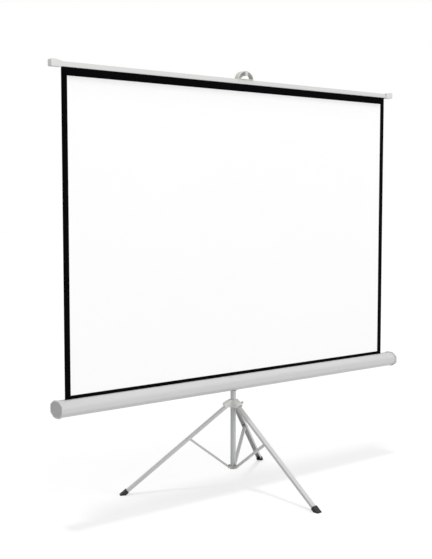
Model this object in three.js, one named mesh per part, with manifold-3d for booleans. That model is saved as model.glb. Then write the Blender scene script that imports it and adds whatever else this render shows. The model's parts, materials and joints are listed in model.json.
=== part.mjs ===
// Tripod projection screen, standing open with the fabric drawn up to the mast hook.
// Millimetres, +Z up, the screen faces -Y, and the origin is under the middle of the outer box.
import * as THREE from 'three';
import { mergeVertices } from 'three/addons/utils/BufferGeometryUtils.js';
import Module from 'manifold-3d';

// Fabric: the white viewing area and the black borders round it
const VIEW_W = 1826;
const VIEW_H = 1253.5;
const SIDE_BORDER = 27;
const TOP_BORDER = 32;
const BOTTOM_BORDER = 13;
const FABRIC_T = 0.6;

// Case: a rolled tube of eight sides, deeper in front of the roller by its lead,
// and longer at the right for the roller's spring end
const CASE_H = 65;
const CASE_D = 84;
const CASE_LEAD = 9;
const CASE_CHAMFER_D = 25;
const CASE_CHAMFER_H = 17;
const CASE_WALL = 1.6;
const CASE_OVERHANG = 55.5;
const CASE_SHIFT = 9.5;
const CASE_SLOT = 7;
const CAP_T = 9;
const CAP_LIP = 3;
const CAP_EDGE = 2;
const CAP_PLUG = 14;
const CAP_PLUG_WALL = 3;

// Spring roller inside the case
const ROLLER_R = 17;
const ROLLER_WALL = 1.5;
const ROLL_T = 6;
const ROLLER_END_GAP = 6;
const GUDGEON_R = 4;
const GUDGEON_PLUG = 25;
const POST_WALL = 3;
const SPRING_WIRE = 2.4;
const SPRING_CURLS = 12;
const SPRING_PITCH = 20;

// Mast: a fixed lower tube and an extension that slides in it
const MAST_OD = 25;
const MAST_WALL = 1.5;
const MAST_TOP = 1150;
const EXTENSION_WALL = 1.2;
const EXTENSION_INSERT = 550;
const COLLAR_H = 36;
const COLLAR_SEAT = 27;
const COLLAR_KNOB_UP = 12.6;
const COLLAR_WALL = 5;

// Tripod: legs hung on a sliding crown and braced to a bracket at the mast's lower end
const TRIPOD_TURN = -3.6;
const LEG_ANGLE = 51.6;
const FOOT_R = 518;
const HINGE_R = 23.5;
const BRACE_AT = 238;
const BRACE_L = 240.8;
const BRACKET_R = 19.1;
const LEG_W = 24;
const LEG_H = 14;
const LEG_WALL = 1.6;
const LEG_CORNER = 4;
const BRACE_W = 15;
const BRACE_H = 9.5;
const PIN_R = 2.5;
const PIN_FLOOR = 2;
const HUB_WALL = 3;
const CHEEK_T = 3.5;
const CHEEK_REACH = 46;
const CHEEK_CORNER = 8;
const HOOD_DROP = 18;
const CROWN_H = 34;
const BRACKET_H = 18;
const BRACKET_WALL = 1.2;
const EAR_T = 2;
const EAR_REACH = 4.5;
const BOOT_WALL = 1.6;
const BOOT_LENGTH = 30;
const BOOT_SEAT = 16;

// Carriage between the mast and the case
const CARRIAGE_OVER_CROWN = 43.1;
const CARRIAGE_H = 100;
const CARRIAGE_SKIRT = 21.5;
const CARRIAGE_WALL = 6;
const BUSH_WALL = 2;
const BUSH_FLANGE = 3;
const BUSH_FLANGE_T = 3;
const FLANGE_W = 40;
const FLANGE_REACH = 20;
const FLANGE_T = 6;
const BOSS_W = 44;
const BOSS_H = 60;
const BOSS_REACH = 30.2;
const SADDLE_W = 130;
const SADDLE_H = 30;
const SADDLE_T = 7.7;
const BOLT_R = 5;
const BOLT_HEAD_R = 9;
const BOLT_HEAD_T = 2.6;

// Top rail, its end caps and the carrying handle
const RAIL_H = 20;
const RAIL_D = 22;
const RAIL_WALL = 1.6;
const RAIL_SLOT = 3;
const RAIL_OVERHANG = 20;
const BATTEN_R = 2.5;
const RAIL_CORNER = 3;
const RAIL_CAP_L = 46;
const RAIL_CAP_H = 28;
const RAIL_CAP_HEAD = 22;
const RAIL_CAP_WALL = 2;
const RAIL_CAP_SEAT = 16;
const HANDLE_W = 90;
const HANDLE_H = 37.5;
const HANDLE_D = 26;
const HANDLE_BAND = 4.5;
const HANDLE_BASE = 2.5;
const SCREW_R = 2;
const SCREW_HEAD_R = 4;
const SCREW_HEAD_T = 2.4;
const SCREW_L = 9;

// Hook on the extension
const HOOK_W = 16;
const HOOK_T = 14;
const HOOK_TIP_T = 5;
const HOOK_TIP = 4;
const HOOK_DROP = 6;
const HOOK_SOCKET_H = 40;
const HOOK_SOCKET_WALL = 2.5;

// Lock knobs: two alike, and a small thumb screw on the crown
const KNOB_R = 11;
const KNOB_H = 14;
const KNOB_STEM_R = 4;
const KNOB_STEM = 10;
const THUMB_R = 5;
const THUMB_H = 9;
const THUMB_STEM_R = 2.5;
const THUMB_STEM = 26;

// Clearance between pieces that touch or slide
const GAP = 0.3;

// Facets of round forms
const ROUND = 24;
const FINE = 12;

// Places worked out from the sizes above
const rad = THREE.MathUtils.degToRad;
const fabricW = VIEW_W + 2 * SIDE_BORDER;
const screenY = -(BOSS_REACH + GAP + SADDLE_T + GAP + CASE_D / 2 - CASE_LEAD);
const legPivotZ = (FOOT_R - HINGE_R) / Math.tan(rad(LEG_ANGLE));
const legLength = (FOOT_R - HINGE_R) / Math.sin(rad(LEG_ANGLE));
const crownLow = legPivotZ - CROWN_H / 3;
const crownTop = crownLow + CROWN_H;
const bushLow = crownTop + CARRIAGE_OVER_CROWN;
const carriageLow = bushLow + BUSH_FLANGE_T + GAP;
const caseZ = carriageLow + CARRIAGE_SKIRT + BOSS_H / 2;
const caseTop = caseZ + CASE_H / 2;
const railZ = caseTop + BOTTOM_BORDER + VIEW_H + TOP_BORDER;
const railTop = railZ + RAIL_H;
const caseHalf = fabricW / 2 + CASE_OVERHANG;
const mastR = MAST_OD / 2;
const braceR = HINGE_R + BRACE_AT * Math.sin(rad(LEG_ANGLE));
const braceZ = legPivotZ - BRACE_AT * Math.cos(rad(LEG_ANGLE));
const braceAngle = Math.asin((braceR - BRACKET_R) / BRACE_L);
const bracketZ = braceZ - BRACE_L * Math.cos(braceAngle);
const hubR = mastR + GAP + HUB_WALL;
const mastBottom = bracketZ - PIN_R - PIN_FLOOR;
const extensionR = mastR - MAST_WALL - GAP;
const handleIn = HANDLE_W / 2 - HANDLE_BAND;
const handleFloor = railTop + GAP + HANDLE_BASE;
const strapOverHook = Math.sqrt(1 - (HOOK_W / 2 / handleIn) ** 2);
const hookTop = handleFloor + (railTop + HANDLE_H - HANDLE_BAND - handleFloor) * strapOverHook - 2 * GAP;

const wasm = await Module();
wasm.setup();

// Colours and finishes
const finish = (color, roughness, metalness) =>
  new THREE.MeshStandardMaterial({ color, roughness, metalness });
const greyPaint = finish(0xd2d3d0, 0.45, 0.1);
const steel = finish(0xb9bcb8, 0.35, 0.8);
const darkSteel = finish(0x9a9c98, 0.4, 0.8);
const greyPlastic = finish(0x9b9e99, 0.55, 0);
const palePlastic = finish(0xc9c8c2, 0.5, 0);
const blackPlastic = finish(0x2b2b2d, 0.5, 0);
const rubber = finish(0x2d2d31, 0.85, 0);
const fabric = finish(0xf6f6f4, 0.9, 0);

// Joins and cuts
function toSolid(geometry) {
  const bare = geometry.clone();
  bare.deleteAttribute('normal');
  bare.deleteAttribute('uv');
  const merged = mergeVertices(bare, 1e-4);
  return new wasm.Manifold(new wasm.Mesh({
    numProp: 3,
    vertProperties: new Float32Array(merged.attributes.position.array),
    triVerts: new Uint32Array(merged.index.array),
  }));
}

function toGeometry(solid) {
  const mesh = solid.getMesh();
  const geometry = new THREE.BufferGeometry();
  geometry.setAttribute('position', new THREE.BufferAttribute(new Float32Array(mesh.vertProperties), 3));
  geometry.setIndex(new THREE.BufferAttribute(new Uint32Array(mesh.triVerts), 1));
  geometry.computeVertexNormals();
  return geometry;
}

const join = (first, ...rest) => toGeometry(rest.reduce((all, g) => all.add(toSolid(g)), toSolid(first)));
const cut = (body, ...tools) =>
  toGeometry(tools.reduce((left, g) => left.subtract(toSolid(g)), toSolid(body)));
const common = (a, b) => toGeometry(toSolid(a).intersect(toSolid(b)));

// A form turned about Z from [radius, height] points that run up the outside
function turned(points, facets = ROUND) {
  const profile = points.map(([r, z]) => new THREE.Vector2(r, z));
  return new THREE.LatheGeometry(profile, facets).rotateX(Math.PI / 2);
}

const rod = (r, z0, z1, facets = FINE) => turned([[0, z0], [r, z0], [r, z1], [0, z1]], facets);
const ring = (outer, inner, z0, z1, facets = ROUND) =>
  turned([[outer, z0], [outer, z1], [inner, z1], [inner, z0], [outer, z0]], facets);
const alongX = (geometry) => geometry.rotateY(Math.PI / 2);
const alongY = (geometry) => geometry.rotateX(-Math.PI / 2);

function block(x0, x1, y0, y1, z0, z1) {
  const box = new THREE.BoxGeometry(x1 - x0, y1 - y0, z1 - z0);
  return box.translate((x0 + x1) / 2, (y0 + y1) / 2, (z0 + z1) / 2);
}

// An outline in X and Z, given a width across Y
function acrossY(shape, width, curveSegments = 6) {
  const slab = new THREE.ExtrudeGeometry(shape, { depth: width, bevelEnabled: false, curveSegments });
  return slab.translate(0, 0, -width / 2).rotateX(Math.PI / 2);
}

// Turns an extruded outline into Y and Z, with its depth along X
const intoYZ = new THREE.Matrix4().makeBasis(
  new THREE.Vector3(0, 1, 0), new THREE.Vector3(0, 0, 1), new THREE.Vector3(1, 0, 0));

// An outline in Y and Z, run along X from x0 to x1
function runX(shape, x0, x1, curveSegments = 4) {
  const bar = new THREE.ExtrudeGeometry(shape, { depth: x1 - x0, bevelEnabled: false, curveSegments });
  return bar.applyMatrix4(intoYZ).translate(x0, 0, 0);
}

const polygon = (points) => new THREE.Shape(points.map(([u, v]) => new THREE.Vector2(u, v)));

function chamfered(w, h, cw, ch) {
  const [a, b] = [w / 2, h / 2];
  return polygon([
    [-a + cw, -b], [a - cw, -b], [a, -b + ch], [a, b - ch],
    [a - cw, b], [-a + cw, b], [-a, b - ch], [-a, -b + ch]]);
}

function rounded(w, h, r) {
  const [a, b] = [w / 2, h / 2];
  const shape = new THREE.Shape();
  shape.absarc(a - r, -b + r, r, -Math.PI / 2, 0);
  shape.absarc(a - r, b - r, r, 0, Math.PI / 2);
  shape.absarc(-a + r, b - r, r, Math.PI / 2, Math.PI);
  shape.absarc(-a + r, -b + r, r, Math.PI, 1.5 * Math.PI);
  return shape;
}

function piece(name, geometry, material) {
  const mesh = new THREE.Mesh(geometry, material);
  mesh.name = name;
  return mesh;
}

function assembly(...children) {
  const group = new THREE.Group();
  group.add(...children);
  return group;
}

// A lock knob: its screw's tip is at the origin and its grip points along +Z
function knob(stem, stemR = KNOB_STEM_R, r = KNOB_R, h = KNOB_H) {
  const edge = h / 6;
  return turned([
    [0, 0], [stemR, 0], [stemR, stem], [r - edge, stem], [r, stem + edge],
    [r, stem + h - edge], [r - edge, stem + h], [0, stem + h],
  ], FINE);
}

function makeMast() {
  const tube = ring(mastR, mastR - MAST_WALL, mastBottom, MAST_TOP);
  const collarR = mastR + COLLAR_WALL;
  const collarLow = MAST_TOP - COLLAR_SEAT;
  const knobZ = collarLow + COLLAR_KNOB_UP;
  const sleeve = ring(collarR, mastR + GAP, collarLow, MAST_TOP + GAP);
  const lid = ring(collarR, extensionR + GAP, MAST_TOP + GAP, collarLow + COLLAR_H);
  const seat = alongY(rod(KNOB_STEM_R + GAP, mastR, collarR + 2, FINE)).translate(0, 0, knobZ);
  const collar = cut(join(sleeve, lid), seat);
  const collarKnob = alongY(knob(KNOB_STEM + COLLAR_WALL)).translate(0, mastR + 2 * GAP, knobZ);
  return assembly(
    piece('mast_tube', tube, steel),
    piece('mast_collar', collar, greyPlastic),
    piece('collar_knob', collarKnob, blackPlastic),
  );
}

// The bracket on the mast's lower end: pairs of ears whose pin slots are open below
function makeBracket() {
  const low = mastBottom - HUB_WALL - GAP;
  const high = low + BRACKET_H;
  const slot = BRACE_W + 2 * GAP;
  const reach = BRACKET_R + EAR_REACH;
  const slope = BRACKET_H / 4;
  const outline = polygon([
    [0, low], [reach - slope, low], [reach, low + slope],
    [reach, high - slope], [reach - slope, high], [0, high]]);
  const ear = acrossY(outline, slot + 2 * EAR_T);
  const ringR = mastR + GAP + BRACKET_WALL;
  const passage = block(ringR, reach + 1, -slot / 2, slot / 2, low - 1, high + 1);
  const pinHalf = PIN_R + GAP;
  const pinSlot = block(BRACKET_R - pinHalf, BRACKET_R + pinHalf, -LEG_W, LEG_W, low - 1, bracketZ + pinHalf);
  const turns = legTurns();
  let bracket = rod(ringR, low, high, ROUND);
  bracket = join(bracket, ...turns.map((a) => ear.clone().rotateZ(a)));
  bracket = cut(bracket,
    rod(mastR + GAP, mastBottom - GAP, high + 1, ROUND),
    ...turns.map((a) => passage.clone().rotateZ(a)),
    ...turns.map((a) => pinSlot.clone().rotateZ(a)));
  return piece('mast_foot_bracket', bracket, darkSteel);
}

// Legs point at 0, 120 and 240 degrees from the front one, all turned a little on the mast
function legTurns() {
  const front = -90 - TRIPOD_TURN;
  return [0, 120, 240].map((step) => rad(front + step));
}

const LEG_NAMES = ['front', 'right', 'left'];

// The crown: a hub on the mast with a sloping hood for each leg, two cheeks under a roof
function makeCrown() {
  const low = crownLow;
  const high = crownTop;
  const slot = LEG_W + 2 * GAP;
  const outline = polygon([
    [0, low], [CHEEK_REACH - CHEEK_CORNER, low], [CHEEK_REACH, low + CHEEK_CORNER],
    [CHEEK_REACH, high - HOOD_DROP], [hubR, high], [0, high]]);
  const hood = acrossY(outline, slot + 2 * CHEEK_T);
  const outside = CHEEK_REACH + 1;
  const fall = HOOD_DROP * (outside - hubR) / (CHEEK_REACH - hubR);
  const roofLow = high - CHEEK_T;
  const passage = acrossY(polygon([
    [hubR, low - 1], [outside, low - 1], [outside, roofLow - fall], [hubR, roofLow]]), slot);
  const pinHole = alongY(rod(PIN_R + GAP, -LEG_W, LEG_W)).translate(HINGE_R, 0, legPivotZ);
  const turns = legTurns();
  const knobTurn = turns[0] + rad(60);
  const knobZ = legPivotZ + CROWN_H / 6;
  const knobSeat = alongX(rod(THUMB_STEM_R + GAP, mastR, CHEEK_REACH)).translate(0, 0, knobZ);
  let crown = rod(hubR, low, high, ROUND);
  crown = join(crown, ...turns.map((a) => hood.clone().rotateZ(a)));
  crown = cut(crown,
    rod(mastR + GAP, low - 1, high + 1, ROUND),
    ...turns.map((a) => passage.clone().rotateZ(a)),
    ...turns.map((a) => pinHole.clone().rotateZ(a)),
    knobSeat.clone().rotateZ(knobTurn));
  const thumb = knob(THUMB_STEM, THUMB_STEM_R, THUMB_R, THUMB_H);
  const lock = alongX(thumb).translate(mastR + 2 * GAP, 0, knobZ);
  const pinHalf = slot / 2 + CHEEK_T;
  const pin = alongY(rod(PIN_R, -pinHalf, pinHalf)).translate(HINGE_R, 0, legPivotZ);
  const pins = turns.map((a, i) => piece(`leg_pin_${LEG_NAMES[i]}`, pin.clone().rotateZ(a), steel));
  return assembly(
    piece('leg_crown', crown, greyPlastic),
    piece('crown_knob', lock.rotateZ(knobTurn), steel),
    ...pins,
  );
}

// A leg in its own frame: the pivot at the origin, the leg along +X, its open side down
function legSolid() {
  const [a, b] = [LEG_W / 2, LEG_H / 2];
  const t = LEG_WALL;
  const r = LEG_CORNER;
  const section = new THREE.Shape();
  section.moveTo(-a, -b);
  section.absarc(-a + r, b - r, r, Math.PI, Math.PI / 2, true);
  section.absarc(a - r, b - r, r, Math.PI / 2, 0, true);
  section.lineTo(a, -b);
  section.lineTo(a - t, -b);
  section.absarc(a - r, b - r, r - t, 0, Math.PI / 2);
  section.absarc(-a + r, b - r, r - t, Math.PI / 2, Math.PI);
  section.lineTo(-a + t, -b);
  const end = legLength - BOOT_LENGTH + BOOT_SEAT;
  const outline = new THREE.Shape();
  outline.absarc(0, 0, b, Math.PI / 2, 1.5 * Math.PI);
  outline.lineTo(end - LEG_H, -b);
  outline.lineTo(end, 0);
  outline.lineTo(end, b);
  const channel = runX(section, -LEG_H, end);
  const hole = alongY(rod(PIN_R + GAP, -LEG_W, LEG_W));
  return cut(common(channel, acrossY(outline, LEG_W + 2)), hole, hole.clone().translate(BRACE_AT, 0, 0));
}

// The rubber boot on a leg's end, level with the floor underneath
function bootSolid() {
  const half = LEG_H / 2 + BOOT_WALL;
  const top = legLength - BOOT_LENGTH;
  const slope = Math.tan(rad(90 - LEG_ANGLE));
  const floorZ = (x) => (x - legLength) * slope;
  const onFloor = (z) => legLength + z / slope;
  const toe = Math.min(onFloor(half), legLength + half);
  const outline = polygon([
    [top, -half], [onFloor(-half), -half], [toe, floorZ(toe)], [toe - BOOT_WALL, half], [top, half]]);
  const boot = acrossY(outline, LEG_W + 2 * BOOT_WALL);
  const pocket = block(top - 1, top + BOOT_SEAT + GAP, -LEG_W / 2 - GAP, LEG_W / 2 + GAP,
    -LEG_H / 2 - GAP, LEG_H / 2 + GAP);
  return cut(boot, pocket);
}

// A brace in its own frame: the leg's joint at the origin, the bracket's at +X
function braceSolid() {
  const r = BRACE_H / 2;
  const outline = new THREE.Shape();
  outline.absarc(0, 0, r, Math.PI / 2, 1.5 * Math.PI);
  outline.absarc(BRACE_L, 0, r, -Math.PI / 2, Math.PI / 2);
  const hole = alongY(rod(PIN_R + GAP, -LEG_W, LEG_W));
  return cut(acrossY(outline, BRACE_W), hole, hole.clone().translate(BRACE_L, 0, 0));
}

function makeLegs() {
  const legs = new THREE.Group();
  const leg = legSolid();
  const boot = bootSolid();
  const brace = braceSolid();
  const upperPin = alongY(rod(PIN_R, -LEG_W / 2, LEG_W / 2)).translate(BRACE_AT, 0, 0);
  const earHalf = BRACE_W / 2 + GAP + EAR_T;
  const lowerPin = alongY(rod(PIN_R, -earHalf, earHalf)).translate(BRACE_L, 0, 0);
  legTurns().forEach((turn, i) => {
    const side = LEG_NAMES[i];
    const legFrame = assembly(
      piece(`leg_${side}`, leg.clone(), greyPaint),
      piece(`foot_${side}`, boot.clone(), rubber),
      piece(`brace_pin_${side}`, upperPin.clone(), steel),
    );
    legFrame.rotation.y = rad(90 - LEG_ANGLE);
    legFrame.position.set(HINGE_R, 0, legPivotZ);
    const braceFrame = assembly(
      piece(`brace_${side}`, brace.clone(), greyPaint),
      piece(`bracket_pin_${side}`, lowerPin.clone(), steel),
    );
    braceFrame.rotation.y = Math.PI / 2 + braceAngle;
    braceFrame.position.set(braceR, 0, braceZ);
    const both = assembly(legFrame, braceFrame);
    both.rotation.z = turn;
    legs.add(both);
  });
  return legs;
}

// The carriage that holds the case on the mast, turning on a bush
function makeCarriage() {
  const low = carriageLow;
  const high = low + CARRIAGE_H;
  const bushR = mastR + GAP + BUSH_WALL;
  const outerR = bushR + GAP + CARRIAGE_WALL;
  const bush = join(
    ring(bushR, mastR + GAP, bushLow, high),
    ring(bushR + BUSH_FLANGE, mastR + GAP, bushLow, bushLow + BUSH_FLANGE_T));
  const barrel = rod(outerR, low, high, ROUND);
  const flange = block(-FLANGE_W / 2, FLANGE_W / 2, -FLANGE_REACH, 0, low, low + FLANGE_T);
  const boss = block(-BOSS_W / 2, BOSS_W / 2, -BOSS_REACH, 0, caseZ - BOSS_H / 2, caseZ + BOSS_H / 2);
  const web = block(-FLANGE_T / 2, FLANGE_T / 2, -FLANGE_REACH, 0, low, caseZ);
  const carriage = cut(join(barrel, flange, boss, web),
    rod(bushR + GAP, low - 1, high + 1, ROUND),
    alongY(rod(BOLT_R + GAP, -BOSS_REACH - 1, -outerR)).translate(0, 0, caseZ),
    alongY(rod(KNOB_STEM_R + GAP, bushR, outerR + 2)).translate(0, 0, caseZ));
  const carriageKnob = alongY(knob(KNOB_STEM + CARRIAGE_WALL)).translate(0, bushR + 2 * GAP, caseZ);
  const headBack = -(BOSS_REACH + GAP + SADDLE_T - GAP);
  const bolt = join(
    rod(BOLT_R, headBack + BOLT_HEAD_T - 1, -outerR - GAP, FINE),
    rod(BOLT_HEAD_R, headBack, headBack + BOLT_HEAD_T, ROUND));
  return assembly(
    piece('carriage_bush', bush, blackPlastic),
    piece('case_carriage', carriage, greyPlastic),
    piece('carriage_knob', carriageKnob, blackPlastic),
    piece('case_pivot_bolt', alongY(bolt).translate(0, 0, caseZ), steel),
  );
}

// The saddle on the back of the case, recessed for the head of the pivot bolt
function makeSaddle() {
  const front = -(BOSS_REACH + GAP + SADDLE_T);
  const plate = acrossY(rounded(SADDLE_W, SADDLE_H, SADDLE_H / 4), SADDLE_T)
    .translate(0, front + SADDLE_T / 2, caseZ);
  const recess = alongY(rod(BOLT_HEAD_R + GAP, front - 1, front + BOLT_HEAD_T + 2 * GAP, ROUND));
  const hole = alongY(rod(BOLT_R + GAP, front - 1, front + SADDLE_T + 1));
  const saddle = cut(plate, recess.translate(0, 0, caseZ), hole.translate(0, 0, caseZ));
  return piece('case_saddle', saddle, darkSteel);
}

// The case's outline, drawn in by that much on all its sides
function caseSection(inset) {
  const slant = Math.hypot(CASE_CHAMFER_D, CASE_CHAMFER_H);
  const chamferD = CASE_CHAMFER_D - inset * (1 - (slant - CASE_CHAMFER_D) / CASE_CHAMFER_H);
  const chamferH = CASE_CHAMFER_H - inset * (1 - (slant - CASE_CHAMFER_H) / CASE_CHAMFER_D);
  return chamfered(CASE_D - 2 * inset, CASE_H - 2 * inset, chamferD, chamferH);
}

function makeCase() {
  const shellEnd = caseHalf - CAP_T - GAP;
  const shell = cut(
    runX(caseSection(0), -shellEnd, shellEnd).translate(0, -CASE_LEAD, 0),
    runX(caseSection(CASE_WALL), -caseHalf, caseHalf).translate(0, -CASE_LEAD, 0),
    block(-caseHalf, caseHalf, -CASE_SLOT / 2, CASE_SLOT / 2, 0, CASE_H));
  const plugInset = CASE_WALL + GAP;
  const plug = caseSection(plugInset);
  const hollow = caseSection(plugInset + CAP_PLUG_WALL);
  const bearing = caseHalf - CAP_T - CAP_PLUG;
  const plate = new THREE.ExtrudeGeometry(caseSection(CAP_EDGE - CAP_LIP), {
    depth: CAP_T - CAP_EDGE,
    bevelEnabled: true,
    bevelThickness: CAP_EDGE,
    bevelSize: CAP_EDGE,
    bevelSegments: 2,
    curveSegments: 1,
  });
  plate.applyMatrix4(intoYZ).translate(caseHalf - CAP_T, 0, 0);
  const trimmed = cut(plate, block(0, caseHalf - CAP_T, -CASE_D, CASE_D, -CASE_H, CASE_H));
  const rim = cut(runX(plug, bearing, caseHalf - CAP_T + 1), runX(hollow, bearing - 1, caseHalf - CAP_T));
  const post = alongX(rod(GUDGEON_R + POST_WALL, bearing, caseHalf - CAP_T + 1));
  const socket = alongX(rod(GUDGEON_R + GAP, bearing - 1, caseHalf - CAP_T));
  const end = join(trimmed, rim);
  const [capRight, capLeft] = [0, Math.PI].map((facing) => cut(
    join(end.clone().rotateZ(facing).translate(0, -CASE_LEAD, 0), post.clone().rotateZ(facing)),
    socket.clone().rotateZ(facing)));
  const pieces = assembly(
    piece('case_shell', shell, greyPaint),
    piece('case_cap_right', capRight, greyPlastic),
    piece('case_cap_left', capLeft, greyPlastic),
    ...makeRoller(bearing),
  );
  pieces.position.set(CASE_SHIFT, screenY, caseZ);
  return pieces;
}

// The spring roller on the case's axis, with the wound fabric on it
function makeRoller(bearing) {
  const rollerEnd = bearing - ROLLER_END_GAP;
  const bore = ROLLER_R - ROLLER_WALL;
  const tube = alongX(ring(ROLLER_R, bore, -rollerEnd, rollerEnd));
  const rollBore = ROLLER_R + GAP;
  const wound = alongX(ring(rollBore + ROLL_T, rollBore, -fabricW / 2, fabricW / 2));
  const roll = wound.translate(-CASE_SHIFT, 0, 0);
  const tip = caseHalf - CAP_T - 2 * GAP;
  const gudgeon = alongX(turned([
    [0, rollerEnd - GUDGEON_PLUG], [bore - GAP, rollerEnd - GUDGEON_PLUG], [bore - GAP, rollerEnd],
    [GUDGEON_R, rollerEnd], [GUDGEON_R, tip], [0, tip]]));
  const springR = bore - SPRING_WIRE - 1;
  const springEnd = rollerEnd - GUDGEON_PLUG - GAP;
  const path = new THREE.CatmullRomCurve3(coil(springR, springEnd));
  const wire = new THREE.Shape().absarc(0, 0, SPRING_WIRE / 2, 0, 2 * Math.PI);
  const spring = new THREE.ExtrudeGeometry(wire, {
    steps: SPRING_CURLS * 8, extrudePath: path, curveSegments: 3, bevelEnabled: false });
  return [
    piece('roller_tube', tube, steel),
    piece('fabric_roll', roll, fabric),
    piece('roller_gudgeon_right', gudgeon, steel),
    piece('roller_gudgeon_left', gudgeon.clone().rotateZ(Math.PI), steel),
    piece('roller_spring', spring, darkSteel),
  ];
}

// Points of the spring's curls, back from its anchored end
function coil(radius, end) {
  const points = [];
  const stepsPerCurl = 12;
  for (let i = 0; i <= SPRING_CURLS * stepsPerCurl; i += 1) {
    const turn = (2 * Math.PI * i) / stepsPerCurl;
    const x = end - SPRING_WIRE / 2 - (SPRING_PITCH * i) / stepsPerCurl;
    points.push(new THREE.Vector3(x, radius * Math.cos(turn), radius * Math.sin(turn)));
  }
  return points;
}

// The sheet hangs between the roll and the batten in the rail
function makeFabric() {
  const low = caseZ + ROLLER_R + GAP + ROLL_T + GAP;
  const high = railZ + RAIL_H / 2 - BATTEN_R - GAP;
  const sheet = block(-fabricW / 2, fabricW / 2, screenY - FABRIC_T / 2, screenY + FABRIC_T / 2, low, high);
  return piece('screen_fabric', sheet, fabric);
}

function makeRail() {
  const railEnd = fabricW / 2 + RAIL_OVERHANG;
  const w = 2 * RAIL_WALL;
  const body = runX(rounded(RAIL_D, RAIL_H, RAIL_CORNER), -railEnd, railEnd);
  const hollow = rounded(RAIL_D - w, RAIL_H - w, RAIL_CORNER - RAIL_WALL);
  const inner = runX(hollow, -railEnd - 1, railEnd + 1);
  const slot = block(-railEnd - 1, railEnd + 1, -RAIL_SLOT / 2, RAIL_SLOT / 2, -RAIL_H, 0);
  const screwX = HANDLE_W / 2 - 2 * HANDLE_BAND - SCREW_HEAD_R;
  const screwHole = rod(SCREW_R + GAP, 0, RAIL_H);
  const rail = cut(body, inner, slot,
    screwHole.clone().translate(screwX, 0, 0),
    screwHole.clone().translate(-screwX, 0, 0));
  const batten = alongX(rod(BATTEN_R, -fabricW / 2, fabricW / 2));
  const capIn = railEnd - RAIL_CAP_SEAT;
  const capOut = capIn + RAIL_CAP_L;
  const lowIn = -RAIL_H / 2 - RAIL_CAP_WALL;
  const highOut = lowIn + RAIL_CAP_H;
  const edge = RAIL_CORNER;
  const capOutline = polygon([
    [capIn, lowIn], [capOut - edge, lowIn], [capOut, lowIn + edge], [capOut, highOut - edge],
    [capOut - edge, highOut], [capOut - RAIL_CAP_HEAD, highOut], [capIn + edge, RAIL_H / 2 + RAIL_CAP_WALL],
    [capIn, RAIL_H / 2 + RAIL_CAP_WALL]]);
  const pocket = runX(rounded(RAIL_D + 2 * GAP, RAIL_H + 2 * GAP, RAIL_CORNER), capIn - 1, railEnd + GAP);
  const cap = cut(acrossY(capOutline, RAIL_D + 2 * GAP + 2 * RAIL_CAP_WALL), pocket,
    block(capIn - 1, fabricW / 2 + 2 * GAP, -RAIL_SLOT / 2, RAIL_SLOT / 2, -RAIL_CAP_H, 0));
  const pieces = assembly(
    piece('top_rail', rail, greyPaint),
    piece('fabric_batten', batten, palePlastic),
    piece('rail_cap_right', cap, palePlastic),
    piece('rail_cap_left', cap.clone().rotateZ(Math.PI), palePlastic),
  );
  pieces.position.set(0, screenY, railZ + RAIL_H / 2);
  return pieces;
}

// The carrying handle: a strap bent to an arch on a flat base, screwed to the rail
function makeHandle() {
  const half = HANDLE_W / 2;
  const arch = new THREE.Shape();
  arch.moveTo(half, GAP);
  arch.absellipse(0, GAP, half, HANDLE_H - GAP, 0, Math.PI);
  const inHalf = half - HANDLE_BAND;
  const baseTop = GAP + HANDLE_BASE;
  const opening = new THREE.Shape();
  opening.moveTo(inHalf, baseTop);
  opening.absellipse(0, baseTop, inHalf, HANDLE_H - HANDLE_BAND - baseTop, 0, Math.PI);
  const screwX = inHalf - HANDLE_BAND - SCREW_HEAD_R;
  const screwHole = rod(SCREW_R + GAP, -1, HANDLE_H / 2);
  const handle = cut(
    acrossY(arch, HANDLE_D, ROUND),
    acrossY(opening, HANDLE_D + 2, ROUND),
    screwHole.clone().translate(screwX, 0, 0),
    screwHole.clone().translate(-screwX, 0, 0));
  const headLow = baseTop + GAP;
  const screw = turned([
    [0, headLow - SCREW_L], [SCREW_R, headLow - SCREW_L], [SCREW_R, headLow], [SCREW_HEAD_R, headLow],
    [SCREW_HEAD_R, headLow + SCREW_HEAD_T / 2], [SCREW_HEAD_R / 2, headLow + SCREW_HEAD_T],
    [0, headLow + SCREW_HEAD_T]], FINE);
  const pieces = assembly(
    piece('carry_handle', handle, palePlastic),
    piece('handle_screw_right', screw.clone().translate(screwX, 0, 0), steel),
    piece('handle_screw_left', screw.clone().translate(-screwX, 0, 0), steel),
  );
  pieces.position.set(0, screenY, railTop);
  return pieces;
}

// The extension, and the hook that rises from its top into the handle and holds it up
function makeExtension() {
  const tubeTop = railTop - HOOK_DROP;
  const tube = ring(extensionR, extensionR - EXTENSION_WALL, MAST_TOP - EXTENSION_INSERT, tubeTop);
  const socketR = extensionR + GAP + HOOK_SOCKET_WALL;
  const lidTop = tubeTop + GAP + HOOK_SOCKET_WALL;
  const socket = ring(socketR, extensionR + GAP, tubeTop - HOOK_SOCKET_H, tubeTop + GAP);
  const lid = rod(socketR, tubeTop + GAP, lidTop, ROUND);
  const armLow = hookTop - HOOK_T;
  const bendY = screenY + RAIL_D / 2 + HOOK_TIP_T;
  const tipY = screenY - HANDLE_D / 2 - GAP;
  const profile = polygon([
    [-extensionR, tubeTop + GAP], [bendY, armLow], [tipY - HOOK_TIP_T, armLow],
    [tipY - HOOK_TIP_T, hookTop + HOOK_TIP], [tipY, hookTop + HOOK_TIP], [tipY, hookTop], [bendY, hookTop],
    [0, lidTop], [0, tubeTop + GAP]]);
  const arm = runX(profile, -HOOK_W / 2, HOOK_W / 2);
  return assembly(
    piece('extension_tube', tube, steel),
    piece('mast_hook', join(socket, lid, arm), darkSteel),
  );
}

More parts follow.
